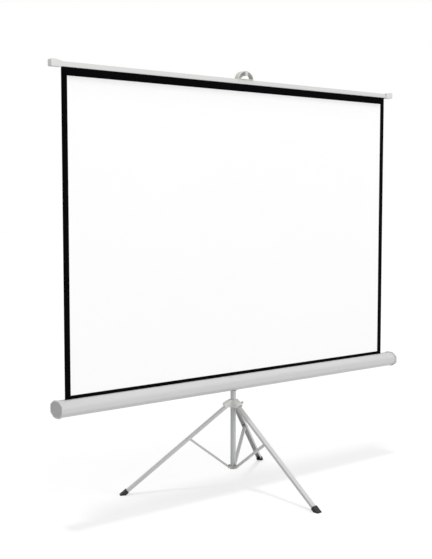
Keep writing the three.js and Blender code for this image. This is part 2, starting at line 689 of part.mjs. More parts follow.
const screen = assembly(
  makeMast(),
  makeBracket(),
  makeCrown(),
  makeLegs(),
  makeCarriage(),
  makeSaddle(),
  makeCase(),
  makeFabric(),
  makeRail(),
  makeHandle(),
  makeExtension(),
);

// Stand the object on the floor with the middle of its outer box over the origin
screen.updateMatrixWorld(true);
const outer = new THREE.Box3().setFromObject(screen, true);
const middle = outer.getCenter(new THREE.Vector3());
screen.position.set(-middle.x, -middle.y, -outer.min.z);

const model = assembly(screen);
model.updateMatrixWorld(true);

export default model;
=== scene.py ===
"""Tripod projection screen: the looks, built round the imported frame.

Metres, +Z up, the screen faces -Y. Every place comes from the frame's own nodes.
"""
import json
import math

import bmesh
import bpy
from mathutils import Matrix, Vector


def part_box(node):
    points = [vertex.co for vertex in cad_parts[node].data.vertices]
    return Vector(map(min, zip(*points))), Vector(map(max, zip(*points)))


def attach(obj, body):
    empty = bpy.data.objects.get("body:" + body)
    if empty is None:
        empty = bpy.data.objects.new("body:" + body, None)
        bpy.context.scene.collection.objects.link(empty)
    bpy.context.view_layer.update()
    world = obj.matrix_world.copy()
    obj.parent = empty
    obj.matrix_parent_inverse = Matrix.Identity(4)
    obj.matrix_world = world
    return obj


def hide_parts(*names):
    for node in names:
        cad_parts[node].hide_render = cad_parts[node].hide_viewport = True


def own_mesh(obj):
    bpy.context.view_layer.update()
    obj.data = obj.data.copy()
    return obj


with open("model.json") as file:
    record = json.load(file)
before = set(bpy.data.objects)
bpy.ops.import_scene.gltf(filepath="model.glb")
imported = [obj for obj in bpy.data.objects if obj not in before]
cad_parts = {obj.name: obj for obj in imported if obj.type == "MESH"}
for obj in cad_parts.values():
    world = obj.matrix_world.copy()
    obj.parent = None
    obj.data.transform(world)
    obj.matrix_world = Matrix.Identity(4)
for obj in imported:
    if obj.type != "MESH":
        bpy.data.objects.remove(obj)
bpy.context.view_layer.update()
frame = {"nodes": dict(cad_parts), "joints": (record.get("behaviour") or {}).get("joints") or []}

bl_info = {
    "name": "Tripod Projection Screen",
    "version": (1, 0, 0),
    "blender": (4, 5, 0),
    "location": "View3D > Sidebar > Screen",
    "description": "Dresses the frame of a tripod projection screen",
    "category": "Add Mesh",
}

NODES = frame["nodes"]
SIDES = ("left", "right")
LEGS = ("front", "right", "left")
MM = 0.001
WHITE = (1, 1, 1)

# Places read from the frame
TUBE_LOW, TUBE_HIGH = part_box("mast_tube")
MAST = (TUBE_LOW + TUBE_HIGH) / 2
CASE_LOW, CASE_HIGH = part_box("case_shell")
SHEET_LOW, SHEET_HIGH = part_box("screen_fabric")
RAIL_LOW, RAIL_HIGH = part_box("top_rail")
SCREEN_Y = (SHEET_LOW.y + SHEET_HIGH.y) / 2
DRAW_DOWN = -next(j for j in frame["joints"] if j["name"] == "mast_extension")["range_m"][0]


# Sizes and colours that a user would change


class ScreenSizes(bpy.types.PropertyGroup):
    """Sizes of what is printed, rolled or moulded on the pieces"""

    side_border: bpy.props.FloatProperty(
        name="Side border", description="Width of the black border at each side",
        default=27 * MM, min=0, unit="LENGTH")
    top_border: bpy.props.FloatProperty(
        name="Top border", description="Height of the black border under the rail",
        default=32 * MM, min=0, unit="LENGTH")
    bottom_border: bpy.props.FloatProperty(
        name="Bottom border", description="Height of the black border above the case",
        default=13 * MM, min=0, unit="LENGTH")
    cloth_thickness: bpy.props.FloatProperty(
        name="Cloth", description="Thickness of the coated cloth",
        default=0.5 * MM, min=0, unit="LENGTH")
    cloth_wave: bpy.props.FloatProperty(
        name="Cloth wave", description="Depth of the slight waves in the drawn sheet",
        default=0.5 * MM, min=0, unit="LENGTH")
    edge: bpy.props.FloatProperty(
        name="Edge", description="Radius on the edges of bent and moulded pieces",
        default=0.8 * MM, min=0, unit="LENGTH")
    rivet_radius: bpy.props.FloatProperty(
        name="Rivet head", description="Radius of the rivet heads",
        default=3.8 * MM, min=0, unit="LENGTH")
    rivet_height: bpy.props.FloatProperty(
        name="Rivet height", description="Height of the rivet heads",
        default=1.3 * MM, min=0, unit="LENGTH")
    knob_lobes: bpy.props.IntProperty(
        name="Knob lobes", description="Lobes round a lock knob", default=8, min=3)


def colour(name, description, value):
    return bpy.props.FloatVectorProperty(
        name=name, description=description, default=value, size=3, min=0, max=1, subtype="COLOR")


class ScreenColours(bpy.types.PropertyGroup):
    """Base colours of the finishes"""

    enamel: colour("Enamel", "Light grey enamel of the case and its rims", (0.555, 0.557, 0.555))
    rail_enamel: colour("Rail enamel", "Paler grey enamel of the top rail", (0.62, 0.622, 0.615))
    leg_enamel: colour(
        "Leg enamel", "Light grey enamel of the legs, braces and hook", (0.56, 0.565, 0.55))
    tube: colour("Tube", "Grey of the mast tubes", (0.48, 0.5, 0.475))
    zinc: colour("Zinc", "Plating of pins, rivets, screws and the roller", (0.5, 0.5, 0.49))
    bracket: colour("Bracket", "Grey of the bracket and the saddle", (0.38, 0.39, 0.37))
    # on the case ends' sunk discs this darker grey is partly painted shade
    plastic: colour(
        "Grey plastic", "Moulded grey of the case ends, collar and carriage", (0.4, 0.41, 0.4))
    crown: colour("Crown", "Pale moulded grey of the crown", (0.75, 0.76, 0.73))
    rail_end: colour("Rail ends", "Pale moulded grey of the rail's ends", (0.66, 0.66, 0.65))
    handle: colour("Handle", "Pale moulded plastic of the handle", (0.64, 0.63, 0.59))
    black: colour("Black plastic", "Black of the knobs and the bush", (0.018, 0.018, 0.02))
    rubber: colour("Rubber", "Black of the feet", (0.022, 0.022, 0.026))
    coating: colour("Coating", "White of the viewing area", (0.962, 0.962, 0.96))
    border: colour("Border", "Black of the borders", (0.0025, 0.0025, 0.003))
    backing: colour("Backing", "Black of the sheet's back", (0.02, 0.02, 0.022))
    floor: colour("Floor", "Pale grey that the floor throws back on the object", (0.6, 0.6, 0.6))


def sizes():
    return bpy.context.scene.screen_sizes


def colours():
    return bpy.context.scene.screen_colours


# Shader maths written as expressions


class Value:
    """A socket of a node tree whose arithmetic adds Math nodes"""

    def __init__(self, recipe, socket):
        self.recipe = recipe
        self.socket = socket

    def _math(self, operation, first, second):
        return self.recipe.node("ShaderNodeMath", {"operation": operation}, {0: first, 1: second})

    def __add__(self, other):
        return self._math("ADD", self, other)

    __radd__ = __add__

    def __sub__(self, other):
        return self._math("SUBTRACT", self, other)

    def __rsub__(self, other):
        return self._math("SUBTRACT", other, self)

    def __mul__(self, other):
        return self._math("MULTIPLY", self, other)

    __rmul__ = __mul__

    def __gt__(self, other):
        return self._math("GREATER_THAN", self, other)


class Recipe:
    """The node tree of a material or of the world, built by short calls"""

    NOISE_ROUGHNESS = 0.55
    MIX_FIRST, MIX_SECOND, MIX_RESULT = 6, 7, 2  # the Mix node's sockets for colours

    def __init__(self, owner, output="ShaderNodeOutputMaterial"):
        owner.use_nodes = True
        self.owner = owner
        self.tree = owner.node_tree
        self.tree.nodes.clear()
        self.output = self.tree.nodes.new(output)

    def node(self, kind, settings=None, sockets=None, out=0):
        made = self.tree.nodes.new(kind)
        for key, value in (settings or {}).items():
            setattr(made, key, value)
        for key, value in (sockets or {}).items():
            if isinstance(value, Value):
                self.tree.links.new(value.socket, made.inputs[key])
            else:
                made.inputs[key].default_value = value
        return Value(self, made.outputs[out])

    def place(self, stretch=(1, 1, 1)):
        at = self.node("ShaderNodeTexCoord", out="Object")
        return self.node("ShaderNodeMapping", sockets={"Vector": at, "Scale": stretch})

    def noise(self, scale, detail, stretch=(1, 1, 1)):
        return self.node("ShaderNodeTexNoise", sockets={
            "Vector": self.place(stretch), "Scale": scale, "Detail": detail,
            "Roughness": self.NOISE_ROUGHNESS})

    def mix(self, factor, first, second):
        settings = {"data_type": "RGBA", "clamp_factor": True}
        sockets = {"Factor": factor, self.MIX_FIRST: first, self.MIX_SECOND: second}
        return self.node("ShaderNodeMix", settings, sockets, out=self.MIX_RESULT)

    def clouded(self, cloud, rgb, low, high):
        """The colour from low to high times itself, as the cloud goes from 0 to 1"""
        return self.mix(cloud, shade(rgb, low), shade(rgb, high))

    def bump(self, height, strength, distance):
        return self.node("ShaderNodeBump", sockets={
            "Height": height, "Strength": strength, "Distance": distance})

    def seen(self):
        """1 for what the camera sees, straight or by way of metal and glass, and 0 otherwise"""
        straight, mirrored, through = (
            self.node("ShaderNodeLightPath", out=f"Is {ray} Ray")
            for ray in ("Camera", "Glossy", "Transmission"))
        return self.node(
            "ShaderNodeMath", {"operation": "MAXIMUM"}, {0: straight, 1: mirrored + through})

    def show(self, surface):
        self.tree.links.new(surface.socket, self.output.inputs["Surface"])
        return self.owner

    def finish(self, **sockets):
        return self.show(self.node("ShaderNodeBsdfPrincipled", sockets={
            key.replace("_", " "): value for key, value in sockets.items()}))


def shade(rgb, factor):
    return (*(min(1.0, c * factor) for c in rgb), 1.0)


def spots(field, above, share):
    """That share where the field is above the level, and 0 elsewhere"""
    return (field > above) * share


# Finishes


def enamel(name, rgb, stretch):
    """Baked grey enamel on rolled steel: faint cloud, orange peel and rub marks along the length"""
    made = Recipe(bpy.data.materials.new(name))
    cloud = made.noise(scale=5, detail=4)
    peel = made.noise(scale=420, detail=2)
    rub = made.noise(scale=90, detail=3, stretch=stretch)
    worn = spots(rub, above=0.69, share=0.5)
    base = made.clouded(cloud, rgb, low=0.97, high=1.03)
    base = made.mix(worn, base, shade(rgb, 0.88))
    return made.finish(
        Base_Color=base, Roughness=0.36 + cloud * 0.12 + worn * 0.15,
        Normal=made.bump(peel, strength=0.12, distance=0.2 * MM),
        Coat_Weight=0.15, Coat_Roughness=0.25)


def drawn_tube(name, rgb):
    """Satin tube with fine draw marks along its length"""
    made = Recipe(bpy.data.materials.new(name))
    marks = made.noise(scale=700, detail=2, stretch=(1, 1, 0.01))
    cloud = made.noise(scale=9, detail=3, stretch=(1, 1, 0.3))
    return made.finish(
        Base_Color=made.clouded(cloud, rgb, low=0.93, high=1.05), Metallic=0.25,
        Roughness=0.3 + marks * 0.14, Normal=made.bump(marks, strength=0.1, distance=0.1 * MM))


def plated(name, rgb):
    """Bright plating, dulled in patches"""
    made = Recipe(bpy.data.materials.new(name))
    cloud = made.noise(scale=160, detail=4)
    return made.finish(
        Base_Color=made.clouded(cloud, rgb, low=0.86, high=1.08), Metallic=0.9,
        Roughness=0.22 + cloud * 0.25)


def pressed_steel(name, rgb):
    """Grey painted steel pressings with small chips"""
    made = Recipe(bpy.data.materials.new(name))
    cloud = made.noise(scale=40, detail=4)
    chips = spots(made.noise(scale=260, detail=3), above=0.71, share=0.6)
    base = made.clouded(cloud, rgb, low=0.94, high=1.06)
    base = made.mix(chips, base, shade(rgb, 1.35))
    return made.finish(
        Base_Color=base, Metallic=0.35, Roughness=0.38 + cloud * 0.12,
        Normal=made.bump(cloud, strength=0.08, distance=0.2 * MM))


def moulded(name, rgb, roughness):
    """Moulded plastic with a fine spark-eroded grain"""
    made = Recipe(bpy.data.materials.new(name))
    grain = made.node("ShaderNodeTexVoronoi", sockets={"Vector": made.place(), "Scale": 1100})
    cloud = made.noise(scale=25, detail=3)
    return made.finish(
        Base_Color=made.clouded(cloud, rgb, low=0.95, high=1.05),
        Roughness=roughness + grain * 0.1,
        Normal=made.bump(grain, strength=0.18, distance=0.15 * MM))


def foot_rubber(name, rgb):
    """Dull rubber with dusty scuffs"""
    made = Recipe(bpy.data.materials.new(name))
    dust = made.noise(scale=120, detail=5)
    scuff = spots(dust, above=0.6, share=0.5)
    return made.finish(
        Base_Color=made.clouded(scuff, rgb, low=1, high=2.4), Roughness=0.78 + dust * 0.12,
        Normal=made.bump(dust, strength=0.25, distance=0.3 * MM))


THREAD = 0.55 * MM  # a thread's pitch over 2 pi
WAVE_NODE = 20  # radians a metre that the wave node gives at a scale of 1


def coated_cloth(name, rgb, contrast, roughness, gloss):
    """Coated glass cloth: the weave shows as a fine grid under the coating"""
    made = Recipe(bpy.data.materials.new(name))
    warp, weft = (
        made.node("ShaderNodeTexWave", {"bands_direction": way}, {
            "Vector": made.place(), "Scale": 1 / (THREAD * WAVE_NODE),
            "Distortion": 0.3, "Detail": 0})
        for way in ("X", "Z"))
    weave = (warp + weft) * 0.5
    cloud = made.noise(scale=3, detail=3)
    return made.finish(
        Base_Color=made.clouded(cloud, rgb, low=1 - contrast, high=1 + contrast),
        Roughness=roughness + weave * 0.08,
        Normal=made.bump(weave, strength=0.15, distance=0.05 * MM), Specular_IOR_Level=gloss)


FINISHES = {}


def make_finishes():
    c = colours()
    FINISHES.update({
        "case_enamel": enamel("case_enamel", c.enamel, stretch=(0.05, 1, 1)),
        "rail_enamel": enamel("rail_enamel", c.rail_enamel, stretch=(0.05, 1, 1)),
        "leg_enamel": enamel("leg_enamel", c.leg_enamel, stretch=(0.4, 0.4, 0.2)),
        "tube": drawn_tube("mast_tube_satin", c.tube),
        "zinc": plated("zinc_plate", c.zinc),
        "bracket": pressed_steel("bracket_steel", c.bracket),
        "plastic": moulded("grey_moulding", c.plastic, roughness=0.46),
        "crown": moulded("crown_moulding", c.crown, roughness=0.44),
        "rail_end": moulded("pale_end_moulding", c.rail_end, roughness=0.44),
        "handle": moulded("pale_moulding", c.handle, roughness=0.42),
        "black": moulded("black_moulding", c.black, roughness=0.4),
        "rubber": foot_rubber("foot_rubber", c.rubber),
        "coating": coated_cloth(
            "white_coating", c.coating, contrast=0.006, roughness=0.82, gloss=0.2),
        "border": coated_cloth(
            "black_border", c.border, contrast=0.1, roughness=0.85, gloss=0.02),
        "backing": coated_cloth(
            "black_backing", c.backing, contrast=0.1, roughness=0.85, gloss=0.1),
    })


# Mesh helpers

SAME_POINT = 1e-7
WELD = 0.005 * MM
FLAT = math.radians(0.5)
EASED_FROM = math.radians(34)
CORNER_SHARE = 0.45  # the most of a side that a rounded corner takes


def rounded(points, radius, steps=5):
    """The closed outline with each corner replaced by a curve that starts radius before it"""
    outline = []
    for i, corner in enumerate(points):
        before = Vector(points[i - 1])
        at = Vector(corner)
        after = Vector(points[(i + 1) % len(points)])
        start, end = (
            at + side.normalized() * min(radius, side.length * CORNER_SHARE)
            for side in (before - at, after - at))
        for k in range(steps + 1):
            t = k / steps
            outline.append(start * (1 - t) ** 2 + at * 2 * t * (1 - t) + end * t ** 2)
    return outline


def run(outline, length, to_place):
    """A bar of that outline: outline in the bar's own X and Y, length along its Z"""
    bm = bmesh.new()
    near, far = (
        [bm.verts.new(to_place @ Vector((p.x, p.y, z))) for p in outline] for z in (0, length))
    count = len(outline)
    for i in range(count):
        j = (i + 1) % count
        bm.faces.new((near[i], near[j], far[j], far[i]))
    bm.faces.new(reversed(near))
    bm.faces.new(far)
    bmesh.ops.recalc_face_normals(bm, faces=bm.faces)
    return bm


def turned(profile, to_place, steps=64, wave=None):
    """A turned form from (radius, height) points; wave(angle, radius), if given, scales radii"""
    bm = bmesh.new()
    rings = []
    for radius, height in profile:
        if radius == 0:
            rings.append([bm.verts.new(to_place @ Vector((0, 0, height)))])
            continue
        ring = []
        for k in range(steps):
            angle = 2 * math.pi * k / steps
            r = radius * (wave(angle, radius) if wave else 1)
            point = Vector((r * math.cos(angle), r * math.sin(angle), height))
            ring.append(bm.verts.new(to_place @ point))
        rings.append(ring)
    for low, high in zip(rings, rings[1:]):
        for k in range(steps):
            n = (k + 1) % steps
            corners = [low[k % len(low)], low[n % len(low)],
                       high[n % len(high)], high[k % len(high)]]
            kept = list(dict.fromkeys(corners))
            if len(kept) > 2:
                bm.faces.new(kept)
    bmesh.ops.remove_doubles(bm, verts=bm.verts, dist=SAME_POINT)
    bmesh.ops.recalc_face_normals(bm, faces=bm.faces)
    return bm


def pipe(outer, inner, low, high, rim):
    """The (radius, height) points of an open tube with eased rims, closing on themselves"""
    return [(outer, low + rim), (outer, high - rim), (outer - rim, high), (inner, high),
            (inner, low), (outer - rim, low), (outer, low + rim)]


def radius_of(node):
    """The radius of an upright round solid"""
    low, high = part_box(node)
    return (high.x - low.x) / 2


def copy_of(node):
    """The frame's solid as a clean mesh: corners merged and flat faces joined"""
    bm = bmesh.new()
    bm.from_mesh(NODES[node].data)
    bmesh.ops.remove_doubles(bm, verts=bm.verts, dist=WELD)
    bmesh.ops.dissolve_limit(bm, angle_limit=FLAT, verts=bm.verts, edges=bm.edges)
    return bm


def mesh_of(name, bm):
    mesh = bpy.data.meshes.new(name)
    bm.to_mesh(mesh)
    bm.free()
    return mesh


def linked(name, data):
    """A new object in the scene"""
    made = bpy.data.objects.new(name, data)
    bpy.context.scene.collection.objects.link(made)
    return made


def add_piece(name, bm, finish, body, slot, nodes=(), smooth=40, bevel=0, segments=2):
    """A mesh that rides on a body, with its edges eased where bevel is given"""
    piece = linked(name, mesh_of(name, bm))
    piece.data.materials.append(FINISHES[finish])
    if bevel:
        ease = piece.modifiers.new("ease", "BEVEL")
        ease.width = bevel
        ease.segments = segments
        ease.limit_method = "ANGLE"
        ease.angle_limit = EASED_FROM
        flatten(piece)
    settle(piece, body, nodes, smooth)
    return piece


def add_copy(name, node, finish, body, slot, **edges):
    """A clean copy of the frame's solid, in the solid's stead"""
    add_piece(name, copy_of(node), finish, body, slot, [node], **edges)


def flatten(piece):
    """Turns the piece's modifiers into a plain mesh"""
    graph = bpy.context.evaluated_depsgraph_get()
    mesh = bpy.data.meshes.new_from_object(piece.evaluated_get(graph), depsgraph=graph)
    piece.modifiers.clear()
    piece.data = mesh
    mesh.name = piece.name


def settle(piece, body, nodes=(), smooth=40):
    """Shading, body and the nodes that the piece stands for"""
    piece.data.shade_smooth()
    piece.data.set_sharp_from_angle(angle=math.radians(smooth))
    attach(piece, body)
    if nodes:
        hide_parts(*nodes)


def along_x(x, y, z):
    """Puts a bar's outline in Y and Z and its length along +X, from that point"""
    return Matrix(((0, 0, 1, x), (1, 0, 0, y), (0, 1, 0, z), (0, 0, 0, 1)))


def upright(x, y):
    return Matrix.Translation((x, y, 0))


def aimed(at, direction):
    """Puts a turned form's axis along the direction, starting from that point"""
    return Matrix.Translation(at) @ Vector(direction).to_track_quat("Z", "Y").to_matrix().to_4x4()


# Pieces


class SCREEN_OT_fabric(bpy.types.Operator):
    """Make the drawn sheet with its borders and the black head strip under the rail"""

    bl_idname = "screen.fabric"
    bl_label = "Fabric"

    COLUMNS, ROWS = 48, 34
    WAVES = ((1, 5.3, 1.7), (0.5, 11.9, -3.1))  # height, and radians a metre across and up
    STILL = 1.03  # over 1, so that the waves end short of the rail
    LAYERS = ("coating", "border", "backing", "backing")
    WHITE_FACE, BLACK_FACE = 0, 1
    BEHIND, RIM = 2, 1  # steps along the layers to the finish of the back and of the cut edge

    def execute(self, context):
        s = sizes()
        white_low = CASE_HIGH.z + s.bottom_border
        white_high = RAIL_LOW.z - s.top_border
        columns = self.stops(
            SHEET_LOW.x + s.side_border, SHEET_HIGH.x - s.side_border, self.COLUMNS)
        columns = [SHEET_LOW.x, *columns, SHEET_HIGH.x]
        rows = [SHEET_LOW.z, *self.stops(white_low, white_high, self.ROWS)]
        sheet = self.sheet("viewing_sheet", columns, rows,
                           lambda i, j: 0 < i < len(columns) - 2 and j > 0)
        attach(sheet, "carriage")
        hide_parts("screen_fabric")
        head = self.sheet("head_strip", columns, [white_high, RAIL_LOW.z, SHEET_HIGH.z],
                          lambda i, j: False)
        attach(head, "rail")
        height = white_high - SHEET_LOW.z
        1 - DRAW_DOWN / height
        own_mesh(sheet)
        return {"FINISHED"}

    @staticmethod
    def stops(low, high, count):
        return [low + (high - low) * i / count for i in range(count + 1)]

    def wave(self, x, z):
        """Slight fullness of a sheet drawn between a roller and a rail, still at both ends"""
        share = (z - SHEET_LOW.z) / (SHEET_HIGH.z - SHEET_LOW.z)
        fullness = max(0.0, math.sin(math.pi * min(1.0, share * self.STILL)))
        return fullness * sum(
            height * math.sin(x * across + z * up) for height, across, up in self.WAVES)

    def sheet(self, name, columns, rows, is_white):
        s = sizes()
        bm = bmesh.new()
        front = SCREEN_Y - s.cloth_thickness / 2
        grid = [[bm.verts.new((x, front + s.cloth_wave * self.wave(x, z), z)) for x in columns]
                for z in rows]
        for j, (low, high) in enumerate(zip(grid, grid[1:])):
            for i in range(len(columns) - 1):
                face = bm.faces.new((low[i], low[i + 1], high[i + 1], high[i]))
                face.material_index = self.WHITE_FACE if is_white(i, j) else self.BLACK_FACE
                face.smooth = True
        sheet = linked(name, mesh_of(name, bm))
        for finish in self.LAYERS:
            sheet.data.materials.append(FINISHES[finish])
        wall = sheet.modifiers.new("wall", "SOLIDIFY")
        wall.thickness = s.cloth_thickness
        wall.offset = -1
        wall.material_offset = self.BEHIND
        wall.material_offset_rim = self.RIM
        flatten(sheet)
        return sheet


class SCREEN_OT_case(bpy.types.Operator):
    """Make the rolled case with its fabric slot, and its two end caps"""

    bl_idname = "screen.case"
    bl_label = "Case"

    WALL = 1.6 * MM
    SLOT = 3.5 * MM
    LIP = 5 * MM
    CORNER = 7 * MM
    PLAY = 0.5 * MM
    RIM = ((0, 1.5 * MM), (0.4 * MM, 0.4 * MM), (1.3 * MM, 0))  # inset from the cap's lip, depth
    DISC = ((1.6 * MM, 0), (1.9 * MM, 0.8 * MM))  # inset from the case's outside, depth
    # the sunk disc takes the darker grey moulding, partly painted shade: it darkens the end face on
    # top of the lamps' shade
    DISC_PAINTED_SHADE = 1

    def execute(self, context):
        centre = (CASE_LOW + CASE_HIGH) / 2
        self.half_depth = (CASE_HIGH.y - CASE_LOW.y) / 2
        self.half_height = (CASE_HIGH.z - CASE_LOW.z) / 2
        points = [v.co - centre for v in NODES["case_shell"].data.vertices]
        self.chamfer_depth = self.half_depth - max(
            -p.y for p in points if p.z > self.half_height - MM)
        self.chamfer_height = self.half_height - max(
            p.z for p in points if p.y < MM - self.half_depth)
        shell = run(self.outline(SCREEN_Y - centre.y), CASE_HIGH.x - CASE_LOW.x,
                    along_x(CASE_LOW.x, centre.y, centre.z))
        add_piece("case_tube", shell, "case_enamel", "carriage", "grey_paint", ["case_shell"],
                  smooth=30)
        for side in SIDES:
            node = f"case_cap_{side}"
            end = add_piece(f"case_end_{side}", self.cap(node, centre), "case_enamel", "carriage",
                            "grey_plastic", [node], smooth=38)
            # second finish: the darker grey of the sunk disc, partly painted shade on the end face
            end.data.materials.append(FINISHES["plastic"])
        return {"FINISHED"}

    def section(self, inset):
        """Corners of the section drawn in by inset, from the top's front end round by the bottom"""
        p, q = self.chamfer_depth, self.chamfer_height
        slant = math.hypot(p, q)
        a, b = self.half_depth - inset, self.half_height - inset
        c = p - inset * (1 - (slant - p) / q)
        d = q - inset * (1 - (slant - q) / p)
        return [(-a + c, b), (-a, b - d), (-a, -b + d), (-a + c, -b),
                (a - c, -b), (a, -b + d), (a, b - d), (a - c, b)]

    def outline(self, at):
        """Down the outside from the slot's front lip, round the case, and back along the inside"""
        slot, w, b = self.SLOT, self.WALL, self.half_height
        outer = [(at - slot, b), *self.section(0), (at + slot, b)]
        inner = [(at + slot, b - self.LIP), (at + slot + w, b - self.LIP), (at + slot + w, b - w),
                 *self.section(w)[::-1],
                 (at - slot - w, b - w), (at - slot - w, b - self.LIP), (at - slot, b - self.LIP)]
        return rounded(outer + inner, self.CORNER)

    def cap(self, node, centre):
        """A moulded end: the plug in the tube, the lip over it, an eased rim and a sunk disc, the
        disc in darker grey that is partly painted shade
        """
        low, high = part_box(node)
        way = 1 if low.x > centre.x else -1
        inside, outside = (low.x, high.x) if way > 0 else (high.x, low.x)
        mouth = CASE_HIGH.x if way > 0 else CASE_LOW.x
        lip = self.half_height - (high.z - low.z) / 2
        plug = self.WALL + self.PLAY
        steps = [(plug, inside), (plug, mouth), (lip, mouth)]
        steps += [(lip + inset, outside - way * depth) for inset, depth in self.RIM]
        steps += [(inset, outside - way * depth) for inset, depth in self.DISC]
        bm = bmesh.new()
        rings = []
        for inset, x in steps:
            ring = rounded(self.section(inset), self.CORNER)
            rings.append([bm.verts.new((x, centre.y + p.x, centre.z + p.y)) for p in ring])
        for near, far in zip(rings, rings[1:]):
            for i in range(len(near)):
                bm.faces.new((near[i - 1], near[i], far[i], far[i - 1]))
        bm.faces.new(rings[0])
        # the disc face takes the darker grey, partly as painted shade
        bm.faces.new(rings[-1]).material_index = self.DISC_PAINTED_SHADE
        bmesh.ops.recalc_face_normals(bm, faces=bm.faces)
        return bm


class SCREEN_OT_rail(bpy.types.Operator):
    """Make the top rail, rolled in two strips, and its sloping end caps"""

    bl_idname = "screen.rail"
    bl_label = "Top rail"

    SLOT = 1.5 * MM
    WALL = 1.6 * MM
    STEP = 1.6 * MM
    WAIST = 0.5 * MM
    CORNER = 1.4 * MM
    CORNER_STEPS = 3
    END_EDGE = 2 * MM

    def execute(self, context):
        centre = (RAIL_LOW + RAIL_HIGH) / 2
        bar = run(rounded(self.outline(), self.CORNER, self.CORNER_STEPS),
                  RAIL_HIGH.x - RAIL_LOW.x, along_x(RAIL_LOW.x, centre.y, centre.z))
        add_piece("rolled_rail", bar, "rail_enamel", "rail", "grey_paint", ["top_rail"], smooth=30)
        for side in SIDES:
            add_copy(f"rail_end_{side}", f"rail_cap_{side}", "rail_end", "rail", "pale_plastic",
                     smooth=38, bevel=self.END_EDGE, segments=4)
        return {"FINISHED"}

    def outline(self):
        """The outside from the slot below round the top and back to it, then the inside"""
        a = (RAIL_HIGH.y - RAIL_LOW.y) / 2
        b = (RAIL_HIGH.z - RAIL_LOW.z) / 2
        slot, wall, step, waist = self.SLOT, self.WALL, self.STEP, self.WAIST
        outer = [(-slot, -b), (-a, -b), (-a, waist), (-a + step, waist + step), (-a + step, b)]
        inner = [(slot, -b + wall), (a - wall, -b + wall), (a - wall, waist - wall),
                 (a - step - wall, waist), (a - step - wall, b - wall)]
        return self.both_sides(outer) + self.both_sides(inner)

    @staticmethod
    def both_sides(half):
        """The points up one side, and their mirror images down the other"""
        return half + [(-y, z) for y, z in reversed(half)]


class SCREEN_OT_handle(bpy.types.Operator):
    """Make the arched carrying handle and its two screws"""

    bl_idname = "screen.handle"
    bl_label = "Handle"

    EDGE = 1.1 * MM
    DOME = 0.6  # height of a screw's head over its radius
    DOME_STEPS = 6
    ROUND = 24

    def execute(self, context):
        add_copy("arched_handle", "carry_handle", "handle", "rail", "pale_plastic",
                 bevel=self.EDGE, segments=3)
        for side in SIDES:
            node = f"handle_screw_{side}"
            low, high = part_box(node)
            middle = (low + high) / 2
            profile = self.screw(low.z, high.z, radius_of(node))
            screw = turned(profile, upright(middle.x, middle.y), self.ROUND)
            add_piece(f"handle_screw_head_{side}", screw, "zinc", "rail", "pin_steel", [node])
        return {"FINISHED"}

    def screw(self, low, high, radius):
        """The (radius, height) points of a shank half as wide as its domed head"""
        dome = radius * self.DOME
        profile = [(0, low), (radius / 2, low), (radius / 2, high - dome)]
        for k in range(self.DOME_STEPS):
            t = k / self.DOME_STEPS * math.pi / 2
            profile.append((radius * math.cos(t), high - dome * (1 - math.sin(t))))
        return [*profile, (0, high)]


class SCREEN_OT_mast(bpy.types.Operator):
    """Make the mast tube, the extension, the collar between them and the hook on top"""

    bl_idname = "screen.mast"
    bl_label = "Mast"

    WALL = 1.5 * MM
    RIM = 0.4 * MM
    PLAY = 0.3 * MM
    FOOT = 1 * MM
    SHOULDER = ((0, 8 * MM), (1.2 * MM, 7 * MM), (1.2 * MM, 2.5 * MM), (3.5 * MM, 0))  # in, down

    def execute(self, context):
        for name, node, body in (("lower_tube", "mast_tube", "mast"),
                                 ("upper_tube", "extension_tube", "extension")):
            low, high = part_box(node)
            outer = radius_of(node)
            profile = pipe(outer, outer - self.WALL, low.z, high.z, self.RIM)
            self.add_round(name, profile, "tube", body, "tube_steel", node)
        self.add_round("top_collar", self.collar(), "plastic", "mast", "grey_plastic",
                       "mast_collar")
        add_copy("top_hook", "mast_hook", "leg_enamel", "extension", "bracket_steel",
                 bevel=sizes().edge, segments=3)
        return {"FINISHED"}

    @staticmethod
    def add_round(name, profile, finish, body, slot, node):
        piece = turned(profile, upright(MAST.x, MAST.y))
        add_piece(name, piece, finish, body, slot, [node])

    def collar(self):
        """The collar's (radius, height) points: up its stepped outside and down its two bores"""
        low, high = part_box("mast_collar")
        outer = radius_of("mast_collar")
        narrow = radius_of("extension_tube") + self.PLAY
        wide = radius_of("mast_tube") + self.PLAY
        stop = TUBE_HIGH.z + self.PLAY
        foot = (outer - self.FOOT, low.z)
        shoulder = [(outer - inset, high.z - drop) for inset, drop in self.SHOULDER]
        return [foot, (outer, low.z + self.FOOT), *shoulder, (narrow, high.z), (narrow, stop),
                (wide, stop), (wide, low.z), foot]


class SCREEN_OT_tripod(bpy.types.Operator):
    """Make the crown, the bracket, the legs, the braces and the rubber feet"""

    bl_idname = "screen.tripod"
    bl_label = "Tripod"

    def execute(self, context):
        edge = sizes().edge
        add_copy("crown_casting", "leg_crown", "crown", "crown", "grey_plastic",
                 bevel=edge * 1.3, segments=3)
        add_copy("foot_bracket", "mast_foot_bracket", "bracket", "mast", "bracket_steel",
                 bevel=edge * 0.7)
        for side in LEGS:
            leg, brace = f"leg_{side}", f"brace_{side}"
            add_copy(f"channel_leg_{side}", leg, "leg_enamel", leg, "grey_paint",
                     bevel=edge * 0.5, smooth=35)
            add_copy(f"rubber_boot_{side}", f"foot_{side}", "rubber", leg, "foot_rubber",
                     bevel=edge * 2.2, segments=4)
            add_copy(f"brace_bar_{side}", brace, "leg_enamel", brace, "grey_paint",
                     bevel=edge * 1.2, segments=3)
        return {"FINISHED"}


